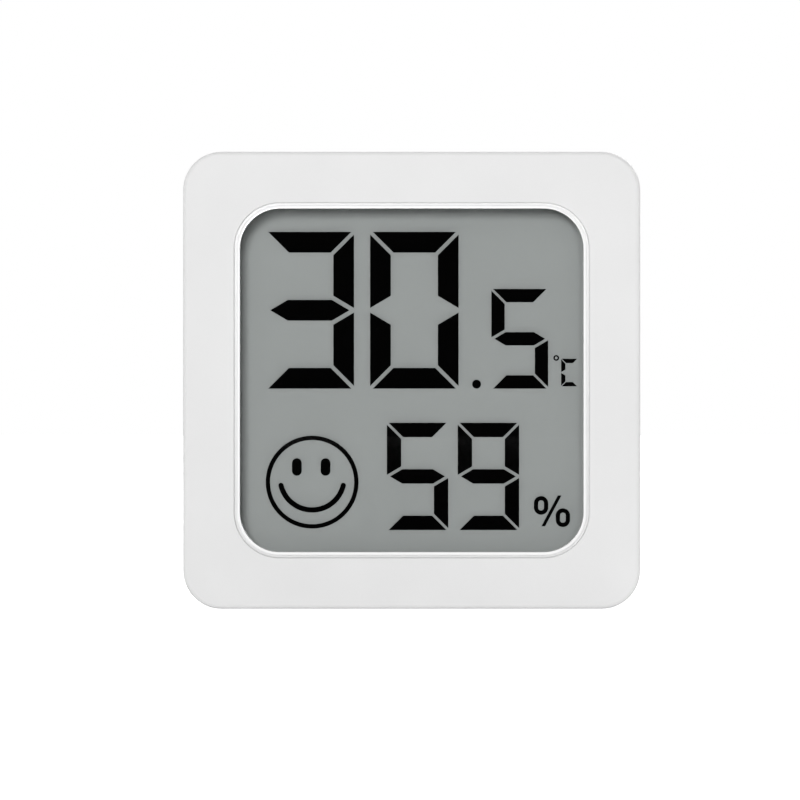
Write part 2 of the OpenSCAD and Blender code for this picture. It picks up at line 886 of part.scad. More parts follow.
module rear_case() {
    color(case_colour) difference() {
        union() {
            rear_shell();
            locating_lip();
            slab(rear_front, wall_root) intersection() {
                at_corners() circle(boss_r);
                case_outline(case_wall / 2);
            }
            slab(board_back, wall_root) for (x = [-1, 1], z = [-1, 1])
                translate([x * post_x, mid_h + z * post_rise]) circle(post_r);
            slab(well_front, wall_root) translate([0, door_z]) circle(well_out);
            stand_block();
            slab(pocket_front - keyhole_box_wall, wall_root) keyhole_box();
            slab(flange_back - sleeve_l, wall_root) at_button()
                circle(button_r + button_flange + fit_gap + sleeve_t);
        }
        battery_well();
        stand_groove();
        slab(rear_inner - over / 2, body_d + over) keyhole();
        slab(pocket_front, rear_inner) keyhole_pocket();
        slab(flange_back - sleeve_l - over, rear_inner) at_button()
            circle(button_r + button_flange + fit_gap);
        slab(rear_inner - over / 2, body_d + over) at_button() circle(button_r + button_hole_gap);
        vents();
        slab(front_case_d - over, body_d + over) at_corners() circle(screw_r + shank_gap);
        slab(screw_seat, body_d + over) at_corners() circle(screw_head_r + head_gap);
        door_marks();
    }
}

module rear_shell() {
    difference() {
        union() {
            case_block(rear_front + parting_reveal, body_d, rear_edge_r, true);
            slab(rear_front, rear_front + 2 * parting_reveal) case_outline(parting_reveal);
        }
        slab(front_case_d - over, rear_inner) at_middle() rounded(inner_w, inner_h, inner_r);
    }
}

// Straight lips that slide inside the front case's walls
module locating_lip() {
    length = 2 * (boss_x - boss_r - boss_clear);
    root = lip_h;
    for (q = [0:3]) {
        across = q % 2 == 0 ? inner_w : inner_h;
        face = across / 2 - fit_gap;
        slab(front_case_d - lip_h, rear_front + root) at_middle() rotate([0, 0, 90 * q])
            translate([face - lip_t, -length / 2]) square([lip_t, length]);
        slab(rear_front, rear_front + root) at_middle() rotate([0, 0, 90 * q])
            translate([face - lip_t, -length / 2]) square([lip_t + fit_gap + case_wall / 2, length]);
    }
}

// Bore for the cell, seat for the door, and the slots that its lugs turn in
module battery_well() {
    slab(well_front - over, body_d + over) translate([0, door_z]) circle(well_r);
    slab(ledge_back, body_d + over) translate([0, door_z]) circle(door_r + door_gap);
    for (k = [0:lug_count - 1]) {
        at = first_lug + k * 360 / lug_count;
        entry = at - door_turn;
        low = entry - notch_angle / 2;
        high = at + lug_angle / 2 + stop_angle;
        sector(groove_front, ledge_front, well_r - over, lug_room, (low + high) / 2, high - low);
        sector(ledge_front - over / 2, ledge_back + over / 2, well_r - over, lug_room, entry, notch_angle);
    }
    slab(well_front - over, blade_back + blade_slot_gap)
        translate([well_r - over, door_z - blade_w / 2 - blade_slot_gap])
            square([well_out - well_r + 2 * over, blade_w + 2 * blade_slot_gap]);
}

// Outline of the groove that the stand folds into
module groove_outline() {
    top = stand_axis_z + stand_swing;
    out_x = stand_out_x + stand_gap;
    low = stand_bottom - stand_gap;
    r = stand_bend_r + stand_leg_w + stand_gap;
    in_x = stand_leg_x - stand_gap;
    in_low = stand_bottom + stand_leg_w + stand_gap;
    in_r = stand_bend_r - stand_gap;
    difference() {
        rounded_foot(out_x, low, top, r);
        rounded_foot(in_x, in_low, top + over, in_r);
    }
}

// Panel with its two lower corners rounded
module rounded_foot(half_w, low, high, r) {
    translate([-half_w, low + r]) square([2 * half_w, high - low - r]);
    translate([-half_w + r, low]) square([2 * (half_w - r), r + over]);
    for (x = [-1, 1]) translate([x * (half_w - r), low + r]) circle(r);
}

module stand_block() {
    out_x = stand_out_x + stand_gap + stand_block_side;
    in_x = stand_leg_x - stand_gap - stand_block_wall;
    top = stand_axis_z + stand_swing + stand_block_wall;
    foot_top = stand_bottom + stand_leg_w + stand_gap + stand_block_wall;
    slab(stand_block_front, wall_root) {
        for (x = [-1, 1]) translate([x * (in_x + out_x) / 2, (top + case_wall / 2) / 2])
            square([out_x - in_x, top - case_wall / 2], center = true);
        panel(2 * out_x, case_wall / 2, foot_top);
    }
}

module stand_groove() {
    slab(stand_floor, body_d + over) groove_outline();
    stand_pins(stand_pin_r + pin_gap, stand_pin_l + pin_gap * 2);
    translate([0, body_d / 2, -over]) linear_extrude(height = stand_bottom + over) {
        translate([-finger_w / 2, -finger_d + finger_r]) square([finger_w, finger_d + over]);
        translate([-finger_w / 2 + finger_r, -finger_d]) square([finger_w - 2 * finger_r, finger_d + over]);
        for (x = [-1, 1]) translate([x * (finger_w / 2 - finger_r), -finger_d + finger_r]) circle(finger_r);
    }
}

// Hinge pins that point outwards from the legs
module stand_pins(r, l) {
    root = stand_leg_w / 2;
    for (x = [-1, 1]) translate([x * (stand_out_x - root), stand_axis_s - body_d / 2, stand_axis_z])
        rotate([0, 90 * x, 0]) cylinder(r = r, h = root + l);
}

// U-shaped bar of one width with rounded edges, on two pins
module stand() {
    bend_x = stand_leg_x - stand_bend_r;
    bend_z = stand_bottom + stand_leg_w + stand_bend_r;
    y = stand_axis_s - body_d / 2;
    color(case_colour) {
        for (x = [-1, 1]) {
            translate([x * (stand_leg_x + stand_leg_w / 2), y, bend_z])
                linear_extrude(height = stand_axis_z + stand_heel - bend_z) stand_section();
            at_depth(stand_axis_s) translate([x * bend_x, bend_z, 0]) rotate([0, 0, x > 0 ? 270 : 180])
                rotate_extrude(angle = 90) translate([stand_bend_r + stand_leg_w / 2, 0]) stand_section();
        }
        translate([-bend_x, y, stand_bottom + stand_leg_w / 2]) rotate([0, 90, 0])
            linear_extrude(height = 2 * bend_x) stand_section();
        stand_pins(stand_pin_r, stand_pin_l);
    }
}

module stand_section() {
    rounded(stand_leg_w, stand_t, stand_edge_r);
}

module keyhole() {
    translate([0, keyhole_z]) {
        circle(keyhole_r);
        translate([0, keyhole_rise]) circle(keyhole_neck_r);
        translate([-keyhole_neck_r, 0]) square([2 * keyhole_neck_r, keyhole_rise]);
    }
}

module keyhole_pocket() {
    translate([0, keyhole_z + keyhole_rise / 2])
        upright_slot(2 * keyhole_pocket_r, 2 * keyhole_pocket_r + keyhole_rise);
}

// Closed box behind the keyhole, up to the top wall
module keyhole_box() {
    half = keyhole_pocket_r + keyhole_box_wall;
    low = keyhole_z - half;
    translate([-half, low]) square([2 * half, body_h - case_wall / 2 - low]);
}

module vents() {
    for (k = [0:vent_count - 1]) {
        x = side_x + (k - (vent_count - 1) / 2) * vent_pitch;
        slab(rear_inner - over, body_d + over) translate([x, top_row_z]) upright_slot(vent_w, vent_l);
        translate([x, top_vent_s - top_vent_l / 2 - body_d / 2, body_h - case_wall - over / 2])
            linear_extrude(height = case_wall + over) upright_slot(vent_w, top_vent_l);
    }
}

// Sunk dots beside the door: where its own dot stands when locked and when open
module door_marks() {
    for (turn = [0, door_turn]) slab(body_d - mark_d, body_d + over) translate([0, door_z])
        rotate([0, 0, -90 - turn]) translate([door_r + mark_inset, 0]) difference() {
            circle(mark_r);
            if (turn > 0) circle(mark_r / 2);
        }
}

module case_screws() {
    color(metal) at_corners_solid() {
        slab(screw_front, screw_seat + screw_head_h - recess_d) circle(screw_r);
        difference() {
            round_disc(screw_seat, screw_seat + screw_head_h, screw_head_r, screw_edge_r);
            for (turn = [0, 90]) slab(screw_seat + screw_head_h - recess_d, screw_seat + screw_head_h + over)
                rotate([0, 0, turn]) square([recess_l, recess_w], center = true);
        }
    }
}

module at_corners_solid() {
    for (x = [-1, 1], z = [screw_inset, body_h - screw_inset]) translate([x * boss_x, 0, z]) children();
}

// Round door whose lugs lock under the rear case's ledge
module battery_door() {
    color(case_colour) difference() {
        union() {
            translate([0, 0, door_z]) round_disc(door_inner, door_back, door_r, door_edge_r);
            slab(lug_front, door_inner + door_edge_r) translate([0, door_z]) ring(hub_out, hub_in);
            for (k = [0:lug_count - 1])
                sector(
                    lug_front, lug_front + lug_t, hub_out - lug_root, lug_out,
                    first_lug + k * 360 / lug_count, lug_angle
                );
        }
        slab(door_back - coin_slot_d, door_back + over) translate([0, door_z]) rotate([0, 0, 90])
            upright_slot(coin_slot_w, coin_slot_l);
        slab(door_back - mark_d, door_back + over) translate([0, door_z - door_r + mark_inset])
            circle(mark_r);
    }
}

front_case();
bezel_ring();
lens_tape();
window_lens();
front_polariser();
front_glass();
glass_seal();
temperature_segments();
humidity_segments();
comfort_face_segments();
rear_glass();
reflector_film();
contact_strip();
display_frame();
main_board();
controller_glob();
chip_resistors();
chip_capacitors();
humidity_sensor();
thermistor();
unit_switch();
switch_plunger();
unit_button();
negative_contact();
positive_contact();
coin_cell();
rear_case();
case_screws();
battery_door();
stand();
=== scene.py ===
"""Looks of a small square thermometer and hygrometer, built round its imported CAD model."""

import math

import bmesh
import bpy
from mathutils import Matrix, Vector


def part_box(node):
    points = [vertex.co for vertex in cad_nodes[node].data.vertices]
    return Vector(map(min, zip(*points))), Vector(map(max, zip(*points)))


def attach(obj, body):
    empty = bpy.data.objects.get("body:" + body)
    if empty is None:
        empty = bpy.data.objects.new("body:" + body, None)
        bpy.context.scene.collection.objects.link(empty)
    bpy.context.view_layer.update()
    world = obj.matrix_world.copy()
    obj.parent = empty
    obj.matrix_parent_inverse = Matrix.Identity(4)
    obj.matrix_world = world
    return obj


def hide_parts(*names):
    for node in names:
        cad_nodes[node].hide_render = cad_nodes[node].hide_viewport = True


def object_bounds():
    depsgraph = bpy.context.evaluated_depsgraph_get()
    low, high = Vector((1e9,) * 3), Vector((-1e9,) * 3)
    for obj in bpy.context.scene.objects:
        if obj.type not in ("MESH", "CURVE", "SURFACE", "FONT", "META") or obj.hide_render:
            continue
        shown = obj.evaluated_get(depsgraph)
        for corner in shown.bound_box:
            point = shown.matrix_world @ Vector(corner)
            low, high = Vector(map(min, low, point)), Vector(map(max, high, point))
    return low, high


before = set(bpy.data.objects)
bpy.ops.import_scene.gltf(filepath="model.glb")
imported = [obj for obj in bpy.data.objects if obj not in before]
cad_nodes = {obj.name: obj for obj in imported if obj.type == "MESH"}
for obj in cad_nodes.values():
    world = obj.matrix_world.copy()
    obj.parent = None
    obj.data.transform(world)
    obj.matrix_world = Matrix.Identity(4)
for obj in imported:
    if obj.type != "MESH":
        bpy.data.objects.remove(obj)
cad_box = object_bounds()
scene = bpy.context.scene

# Places in metres, from the frame
MM = 0.001
case_low, case_high = cad_box
case_middle = (case_low + case_high) / 2
front_y = case_low.y
rear_y = case_high.y
parting_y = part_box("front_case")[1].y
door_low, door_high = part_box("battery_door")
door_middle = (door_low + door_high) / 2

# Case outline and window, as in the part's source
case_corner = 3.7 * MM
parting_gap = 0.02 * MM
parting_reveal = 0.25 * MM
window_half = 16.55 * MM
window_corner = 3.86 * MM

# The photograph's frame: its width in pixels, and where the case's middle lies in it
photo_px = 800
case_width_px = 457.3
case_middle_px = (411.7, 380.3)

# Camera
lens_mm = 300
sensor_mm = 36


# Materials

def new_material(name):
    """A material, its node tree and its Principled shader."""
    material = bpy.data.materials.new(name)
    material.use_nodes = True
    tree = material.node_tree
    return material, tree, tree.nodes["Principled BSDF"]


def add_node(tree, kind, **values):
    """A node with the given settings and input values, named with _ for a space."""
    node = tree.nodes.new(kind)
    for name, value in values.items():
        if hasattr(node, name):
            setattr(node, name, value)
        else:
            node.inputs[name.replace("_", " ")].default_value = value
    return node


def math_node(tree, operation, first, second):
    """The result of a Math node on two links or numbers."""
    node = add_node(tree, "ShaderNodeMath", operation=operation)
    for socket, value in zip(node.inputs, (first, second)):
        if isinstance(value, (int, float)):
            socket.default_value = value
        else:
            tree.links.new(value, socket)
    return node.outputs["Value"]


def new_group(name, inputs, outputs):
    """A shader group with colour, vector and plain number sockets, and its two ends."""
    group = bpy.data.node_groups.new(name, "ShaderNodeTree")
    kinds = {"Colour": "NodeSocketColor", "Vector": "NodeSocketVector"}
    for socket in inputs:
        group.interface.new_socket(socket, in_out="INPUT", socket_type=kinds.get(socket, "NodeSocketFloat"))
    for socket in outputs:
        group.interface.new_socket(socket, in_out="OUTPUT", socket_type=kinds.get(socket, "NodeSocketFloat"))
    entry = group.nodes.new("NodeGroupInput")
    leave = group.nodes.new("NodeGroupOutput")
    return group, entry.outputs, leave.inputs


# Noise values between which a finish goes from its darkest to its full tone, and from smooth to rough
tone_noise = (0.3, 0.7)
roughness_noise = (0.25, 0.75)
roughness_sway = 0.15


def shade_and_roughen(group, entry, leave, pattern, drift):
    """Ends a finish group: a pattern sways roughness and height, and a drift darkens the colour."""
    link = group.links.new
    darkest = math_node(group, "SUBTRACT", 1.0, entry["Tone Drift"])
    tone = add_node(
        group, "ShaderNodeMapRange", From_Min=tone_noise[0], From_Max=tone_noise[1], To_Max=1.0)
    link(drift, tone.inputs["Value"])
    link(darkest, tone.inputs["To Min"])
    shade = add_node(group, "ShaderNodeMix", data_type="RGBA", blend_type="MULTIPLY")
    shade.inputs["Factor"].default_value = 1.0
    link(entry["Colour"], shade.inputs["A"])
    link(tone.outputs["Result"], shade.inputs["B"])
    link(shade.outputs["Result"], leave["Colour"])
    rough = add_node(
        group, "ShaderNodeMapRange", From_Min=roughness_noise[0], From_Max=roughness_noise[1])
    link(pattern, rough.inputs["Value"])
    link(math_node(group, "MULTIPLY", entry["Roughness"], 1 - roughness_sway), rough.inputs["To Min"])
    link(math_node(group, "MULTIPLY", entry["Roughness"], 1 + roughness_sway), rough.inputs["To Max"])
    link(rough.outputs["Result"], leave["Roughness"])
    link(pattern, leave["Height"])


finish_inputs = ("Colour", "Roughness", "Tone Drift")
finish_outputs = ("Colour", "Roughness", "Height")


def make_moulded_grain():
    """Moulded surface: a fine sparked grain, with a slow drift of tone under it."""
    drift_scale = 120.0
    speckle_share = 0.3
    group, entry, leave = new_group("moulded_grain", finish_inputs + ("Grain Scale",), finish_outputs)
    place = group.nodes.new("ShaderNodeTexCoord")
    grain = add_node(group, "ShaderNodeTexNoise", Detail=3.0, Roughness=0.6)
    drift = add_node(group, "ShaderNodeTexNoise", Scale=drift_scale, Detail=2.0)
    group.links.new(place.outputs["Object"], grain.inputs["Vector"])
    group.links.new(place.outputs["Object"], drift.inputs["Vector"])
    group.links.new(entry["Grain Scale"], grain.inputs["Scale"])
    slow = math_node(group, "MULTIPLY", drift.outputs["Fac"], 1 - speckle_share)
    speckle = math_node(group, "MULTIPLY", grain.outputs["Fac"], speckle_share)
    shade_and_roughen(group, entry, leave, grain.outputs["Fac"], math_node(group, "ADD", slow, speckle))
    return group


def make_drawn_lines():
    """Drawn, rolled or turned metal: fine lines across the first axis of the given vector."""
    line_stretch = (1.0, 0.04, 0.04)
    stain_scale = 250.0
    group, entry, leave = new_group("drawn_lines", finish_inputs + ("Vector", "Line Scale"), finish_outputs)
    stretch = add_node(group, "ShaderNodeVectorMath", operation="MULTIPLY")
    stretch.inputs[1].default_value = line_stretch
    lines = add_node(group, "ShaderNodeTexNoise", Detail=4.0, Roughness=0.7)
    stain = add_node(group, "ShaderNodeTexNoise", Scale=stain_scale, Detail=2.0)
    group.links.new(entry["Vector"], stretch.inputs[0])
    group.links.new(stretch.outputs["Vector"], lines.inputs["Vector"])
    group.links.new(entry["Vector"], stain.inputs["Vector"])
    group.links.new(entry["Line Scale"], lines.inputs["Scale"])
    shade_and_roughen(group, entry, leave, lines.outputs["Fac"], stain.outputs["Fac"])
    return group


moulded_grain = make_moulded_grain()
drawn_lines = make_drawn_lines()


def dress(tree, shader, group, colour, roughness, tone_drift, bump_mm):
    """Puts a finish group on a shader, and gives back the group's node."""
    finish = add_node(tree, "ShaderNodeGroup", node_tree=group)
    finish.inputs["Colour"].default_value = (*colour, 1)
    finish.inputs["Roughness"].default_value = roughness
    finish.inputs["Tone Drift"].default_value = tone_drift
    bump = add_node(tree, "ShaderNodeBump", Strength=0.6, Distance=bump_mm * MM)
    tree.links.new(finish.outputs["Colour"], shader.inputs["Base Color"])
    tree.links.new(finish.outputs["Roughness"], shader.inputs["Roughness"])
    tree.links.new(finish.outputs["Height"], bump.inputs["Height"])
    tree.links.new(bump.outputs["Normal"], shader.inputs["Normal"])
    return finish


def start_moulded(name, colour, roughness, grain_mm, tone_drift, bump_mm):
    """A material with a moulded grain, with its tree, shader and finish to add to."""
    material, tree, shader = new_material(name)
    finish = dress(tree, shader, moulded_grain, colour, roughness, tone_drift, bump_mm)
    finish.inputs["Grain Scale"].default_value = 1 / (grain_mm * MM)
    return material, tree, shader, finish


def moulded(name, colour, roughness, grain_mm=0.15, tone_drift=0.04, bump_mm=0.004, metallic=0):
    """Plastic, resin, film, laminate or plated metal with a moulded grain."""
    material, _, shader, _ = start_moulded(name, colour, roughness, grain_mm, tone_drift, bump_mm)
    shader.inputs["Metallic"].default_value = metallic
    return material


def multiply_colour(tree, shader, finish, tint):
    """Puts a varying tint over a finish's colour."""
    shade = add_node(tree, "ShaderNodeMix", data_type="RGBA", blend_type="MULTIPLY")
    shade.inputs["Factor"].default_value = 1
    tree.links.new(finish.outputs["Colour"], shade.inputs["A"])
    tree.links.new(tint, shade.inputs["B"])
    tree.links.new(shade.outputs["Result"], shader.inputs["Base Color"])


def drawn_metal(name, colour, roughness, line_mm, turned_about=None):
    """Metal with lines along Z, or with rings about a point on an axis along Y."""
    material, tree, shader = new_material(name)
    shader.inputs["Metallic"].default_value = 1
    finish = dress(tree, shader, drawn_lines, colour, roughness, tone_drift=0.12, bump_mm=0.002)
    finish.inputs["Line Scale"].default_value = 1 / (line_mm * MM)
    place = tree.nodes.new("ShaderNodeTexCoord")
    if turned_about is None:
        tree.links.new(place.outputs["Object"], finish.inputs["Vector"])
        return material
    centre = add_node(tree, "ShaderNodeMapping")
    centre.inputs["Location"].default_value = (-turned_about.x, 0, -turned_about.z)
    centre.inputs["Scale"].default_value = (1, 0, 1)
    reach = add_node(tree, "ShaderNodeVectorMath", operation="LENGTH")
    ring = tree.nodes.new("ShaderNodeCombineXYZ")
    tree.links.new(place.outputs["Object"], centre.inputs["Vector"])
    tree.links.new(centre.outputs["Vector"], reach.inputs[0])
    tree.links.new(reach.outputs["Value"], ring.inputs["X"])
    tree.links.new(ring.outputs["Vector"], finish.inputs["Vector"])
    return material


def clear_sheet(name, tint, index, slant_loss=0):
    """A clear sheet: it shows what is behind it, with the reflection of its outer side over it.

    A film with a slant loss lets less light through the more slanted that light is.
    """
    material, tree, shader = new_material(name)
    shader.inputs["Base Color"].default_value = (1, 1, 1, 1)
    shader.inputs["Metallic"].default_value = 1
    shader.inputs["Roughness"].default_value = 0
    see_through = add_node(tree, "ShaderNodeBsdfTransparent", Color=(*tint, 1))
    mix = tree.nodes.new("ShaderNodeMixShader")
    edge = add_node(tree, "ShaderNodeFresnel", IOR=index)
    side = tree.nodes.new("ShaderNodeNewGeometry")
    outer = math_node(tree, "SUBTRACT", 1.0, side.outputs["Backfacing"])
    tree.links.new(math_node(tree, "MULTIPLY", edge.outputs["Fac"], outer), mix.inputs["Fac"])
    passed = see_through.outputs["BSDF"]
    if slant_loss:
        slant = add_node(tree, "ShaderNodeLayerWeight", Blend=0.5)
        held_back = add_node(tree, "ShaderNodeBsdfTransparent", Color=(0, 0, 0, 1))
        dim = tree.nodes.new("ShaderNodeMixShader")
        tree.links.new(math_node(tree, "MULTIPLY", slant.outputs["Facing"], slant_loss), dim.inputs["Fac"])
        tree.links.new(passed, dim.inputs[1])
        tree.links.new(held_back.outputs["BSDF"], dim.inputs[2])
        passed = dim.outputs["Shader"]
    tree.links.new(passed, mix.inputs[1])
    tree.links.new(shader.outputs["BSDF"], mix.inputs[2])
    tree.links.new(mix.outputs["Shader"], tree.nodes["Material Output"].inputs["Surface"])
    return material


def rim_with_painted_shade():
    """White rim that greys a little from its crest at the window to the fine line outside it: painted shade,
    standing for the groove's shadow there.
    """
    rim_white = (0.97, 0.97, 0.97)
    crest_w = 0.15 * MM
    foot_w = 0.4 * MM
    foot_painted_shade = 0.7
    material, tree, shader, finish = start_moulded(
        "rim_plastic", rim_white, roughness=0.2, grain_mm=0.15, tone_drift=0.01, bump_mm=0.001)
    place = tree.nodes.new("ShaderNodeTexCoord")
    centre = add_node(tree, "ShaderNodeMapping")
    centre.inputs["Location"].default_value = (0, 0, -case_middle.z)
    centre.inputs["Scale"].default_value = (1, 0, 1)
    straight = window_half - window_corner
    mirror = add_node(tree, "ShaderNodeVectorMath", operation="ABSOLUTE")
    past = add_node(tree, "ShaderNodeVectorMath", operation="SUBTRACT")
    past.inputs[1].default_value = (straight, 0, straight)
    corner = add_node(tree, "ShaderNodeVectorMath", operation="MAXIMUM")
    reach = add_node(tree, "ShaderNodeVectorMath", operation="LENGTH")
    # Painted shade: full white at the crest, darkening towards the foot by the groove
    tone = add_node(tree, "ShaderNodeMapRange", interpolation_type="SMOOTHSTEP")
    tone.inputs["From Min"].default_value = window_corner + crest_w
    tone.inputs["From Max"].default_value = window_corner + foot_w
    tone.inputs["To Min"].default_value = 1
    tone.inputs["To Max"].default_value = foot_painted_shade
    tree.links.new(place.outputs["Object"], centre.inputs["Vector"])
    tree.links.new(centre.outputs["Vector"], mirror.inputs[0])
    tree.links.new(mirror.outputs["Vector"], past.inputs[0])
    tree.links.new(past.outputs["Vector"], corner.inputs[0])
    tree.links.new(corner.outputs["Vector"], reach.inputs[0])
    tree.links.new(reach.outputs["Value"], tone.inputs["Value"])
    multiply_colour(tree, shader, finish, tone.outputs["Result"])
    return material


def board_laminate():
    """Green solder mask over rows of tracks, which show lighter."""
    mask_green = (0.02, 0.15, 0.06)
    material, tree, shader, finish = start_moulded(
        "board_laminate", mask_green, roughness=0.3, grain_mm=0.2, tone_drift=0.1, bump_mm=0.002)
    place = tree.nodes.new("ShaderNodeTexCoord")
    lay_flat = add_node(tree, "ShaderNodeMapping")
    lay_flat.inputs["Rotation"].default_value = (math.radians(90), 0, 0)
    tracks = add_node(tree, "ShaderNodeTexBrick", Scale=1 / MM)
    tracks.inputs["Brick Width"].default_value = 3.4
    tracks.inputs["Row Height"].default_value = 0.8
    tracks.inputs["Mortar Size"].default_value = 0.12
    tracks.inputs["Mortar Smooth"].default_value = 0.1
    tracks.inputs["Color1"].default_value = (1, 1, 1, 1)
    tracks.inputs["Color2"].default_value = (0.9, 0.95, 0.9, 1)
    tracks.inputs["Mortar"].default_value = (2.2, 1.7, 1.6, 1)
    tree.links.new(place.outputs["Object"], lay_flat.inputs["Vector"])
    tree.links.new(lay_flat.outputs["Vector"], tracks.inputs["Vector"])
    multiply_colour(tree, shader, finish, tracks.outputs["Color"])
    return material


def sensing_plate():
    """Pale ceramic plate with a comb of dark electrode lines under its coating."""
    ceramic = (0.78, 0.75, 0.66)
    line_pitch = 0.5 * MM
    wave_length = 0.314
    material, tree, shader, finish = start_moulded(
        "sensing_plate", ceramic, roughness=0.45, grain_mm=0.08, tone_drift=0.08, bump_mm=0.004)
    place = tree.nodes.new("ShaderNodeTexCoord")
    comb = add_node(tree, "ShaderNodeTexWave", wave_type="BANDS", bands_direction="X", wave_profile="SIN")
    comb.inputs["Scale"].default_value = wave_length / line_pitch
    lines = add_node(tree, "ShaderNodeMapRange", From_Min=0.7, From_Max=0.8, To_Min=1.0, To_Max=0.15)
    tree.links.new(place.outputs["Object"], comb.inputs["Vector"])
    tree.links.new(comb.outputs["Fac"], lines.inputs["Value"])
    multiply_colour(tree, shader, finish, lines.outputs["Result"])
    return material


case_plastic = moulded("case_plastic", (0.76, 0.76, 0.76), 0.55)
rear_plastic = moulded("rear_plastic", (0.78, 0.78, 0.78), 0.5, grain_mm=0.3, bump_mm=0.02)
rim_plastic = rim_with_painted_shade()
lens_sheet = clear_sheet("lens_sheet", (1.0, 1.0, 1.0), 1.45)
polariser_sheet = clear_sheet("polariser_sheet", (0.99, 0.99, 0.99), 1.05, slant_loss=0.95)
display_glass = clear_sheet("display_glass", (1.0, 1.0, 1.0), 1.05)
segment_ink = moulded("segment_ink", (0.0006, 0.0006, 0.0006), 0.9, tone_drift=0.3)
segment_ink.node_tree.nodes["Principled BSDF"].inputs["Specular IOR Level"].default_value = 0
reflector_film = moulded("reflector_film", (0.424, 0.45, 0.442), 0.8, grain_mm=0.09)
seal_resin = moulded("seal_resin", (0.3, 0.32, 0.31), 0.6)
tape_film = moulded("tape_film", (0.8, 0.8, 0.76), 0.6)
strip_rubber = moulded("strip_rubber", (0.05, 0.05, 0.055), 0.7)
frame_plastic = moulded("frame_plastic", (0.85, 0.85, 0.83), 0.5)
board_mask = board_laminate()
dome_resin = moulded("dome_resin", (0.01, 0.01, 0.01), 0.25, grain_mm=0.6, bump_mm=0.02)
chip_black = moulded("chip_black", (0.02, 0.02, 0.02), 0.4)
chip_tan = moulded("chip_tan", (0.4, 0.28, 0.16), 0.5)
solder_tin = moulded("solder_tin", (0.72, 0.72, 0.7), 0.3, bump_mm=0.01, metallic=1)
sensor_coat = sensing_plate()
bead_resin = moulded("bead_resin", (0.35, 0.14, 0.02), 0.2, grain_mm=0.4)
switch_base = moulded("switch_base", (0.025, 0.025, 0.027), 0.45)
switch_cover = drawn_metal("switch_cover", (0.66, 0.66, 0.67), 0.3, 0.05)
plunger_plastic = moulded("plunger_plastic", (0.03, 0.03, 0.03), 0.4)
spring_plate = drawn_metal("spring_plate", (0.74, 0.73, 0.7), 0.26, 0.04)
cell_steel = drawn_metal("cell_steel", (0.7, 0.7, 0.71), 0.26, 0.06, turned_about=door_middle)
cell_gasket = moulded("cell_gasket", (0.06, 0.06, 0.065), 0.5)
screw_zinc = moulded("screw_zinc", (0.78, 0.78, 0.8), 0.3, grain_mm=0.1, tone_drift=0.2, metallic=1)

finishes = {
    "front_case": case_plastic, "rear_case": rear_plastic, "battery_door": rear_plastic,
    "stand": rear_plastic, "unit_button": rear_plastic, "bezel_ring": rim_plastic,
    "window_lens": lens_sheet, "front_polariser": polariser_sheet, "front_glass": display_glass,
    "rear_glass": display_glass, "temperature_segments": segment_ink, "humidity_segments": segment_ink,
    "comfort_face_segments": segment_ink, "reflector_film": reflector_film, "glass_seal": seal_resin,
    "lens_tape": tape_film, "contact_strip": strip_rubber, "display_frame": frame_plastic,
    "main_board": board_mask, "controller_glob": dome_resin, "chip_resistors": chip_black,
    "chip_capacitors": chip_tan, "humidity_sensor": sensor_coat, "thermistor": bead_resin,
    "unit_switch": switch_base, "switch_plunger": plunger_plastic, "negative_contact": spring_plate,
    "positive_contact": spring_plate, "coin_cell": cell_steel, "case_screws": screw_zinc,
}
for name, material in finishes.items():
    mesh = cad_nodes[name].data
    mesh.materials.clear()
    mesh.materials.append(material)

# The marks lie on the film as seen from the front, so they throw no shadow on it
for name in ("temperature_segments", "humidity_segments", "comfort_face_segments"):
    cad_nodes[name].visible_shadow = False


# Modelling

smooth_angle = math.radians(35)
sharp_angle = math.radians(40)
flat_angle = math.radians(0.3)
merge_reach = 0.001 * MM
same_place = 0.01 * MM
straight_on = 0.9


def near(value, target):
    return abs(value - target) < same_place


def select_only(*things):
    bpy.ops.object.select_all(action="DESELECT")
    for thing in things:
        thing.select_set(True)
    bpy.context.view_layer.objects.active = things[0]


def open_piece(piece, kind="FACE"):
    """Goes into edit mode on a piece, with nothing selected."""
    select_only(piece)
    bpy.ops.object.mode_set(mode="EDIT")
    bpy.ops.mesh.select_mode(type=kind)
    bpy.ops.mesh.select_all(action="DESELECT")


def close_piece():
    bpy.ops.object.mode_set(mode="OBJECT")


def pick_faces(piece, wanted):
    """Selects the faces whose middle and normal a test wants, and no others."""
    bpy.ops.mesh.select_all(action="DESELECT")
    shape = bmesh.from_edit_mesh(piece.data)
    for face in shape.faces:
        if wanted(face.calc_center_median(), face.normal):
            face.select_set(True)
    bmesh.update_edit_mesh(piece.data)


def faces_down(middle, normal):
    """Whether a face looks straight down."""
    return normal.z < -straight_on


def pick_sharp_edges(piece, wanted):
    """Selects the sharp edges both of whose ends a test wants, and no others."""
    bpy.ops.mesh.select_all(action="DESELECT")
    shape = bmesh.from_edit_mesh(piece.data)
    for edge in shape.edges:
        if edge.calc_face_angle(0) > sharp_angle and all(wanted(vertex.co) for vertex in edge.verts):
            edge.select_set(True)
    bmesh.update_edit_mesh(piece.data)


def soften(piece, width_mm, wanted=lambda end: True, segments=3):
    """Rounds the sharp edges whose ends a test wants."""
    open_piece(piece, "EDGE")
    pick_sharp_edges(piece, wanted)
    bpy.ops.mesh.bevel(
        offset=width_mm * MM, offset_type="OFFSET", segments=segments, affect="EDGES", clamp_overlap=False)
    close_piece()


def paint(piece, *materials):
    piece.data.materials.clear()
    for material in materials:
        piece.data.materials.append(material)


def paint_faces(piece, place_in_list, wanted):
    """Gives the faces that a test wants another of the piece's materials."""
    piece.active_material_index = place_in_list
    open_piece(piece)
    pick_faces(piece, wanted)
    bpy.ops.object.material_slot_assign()
    close_piece()


def fix_place(piece):
    """Puts a piece's place and turn into its mesh."""
    select_only(piece)
    bpy.ops.object.transform_apply(location=True, rotation=True, scale=True)


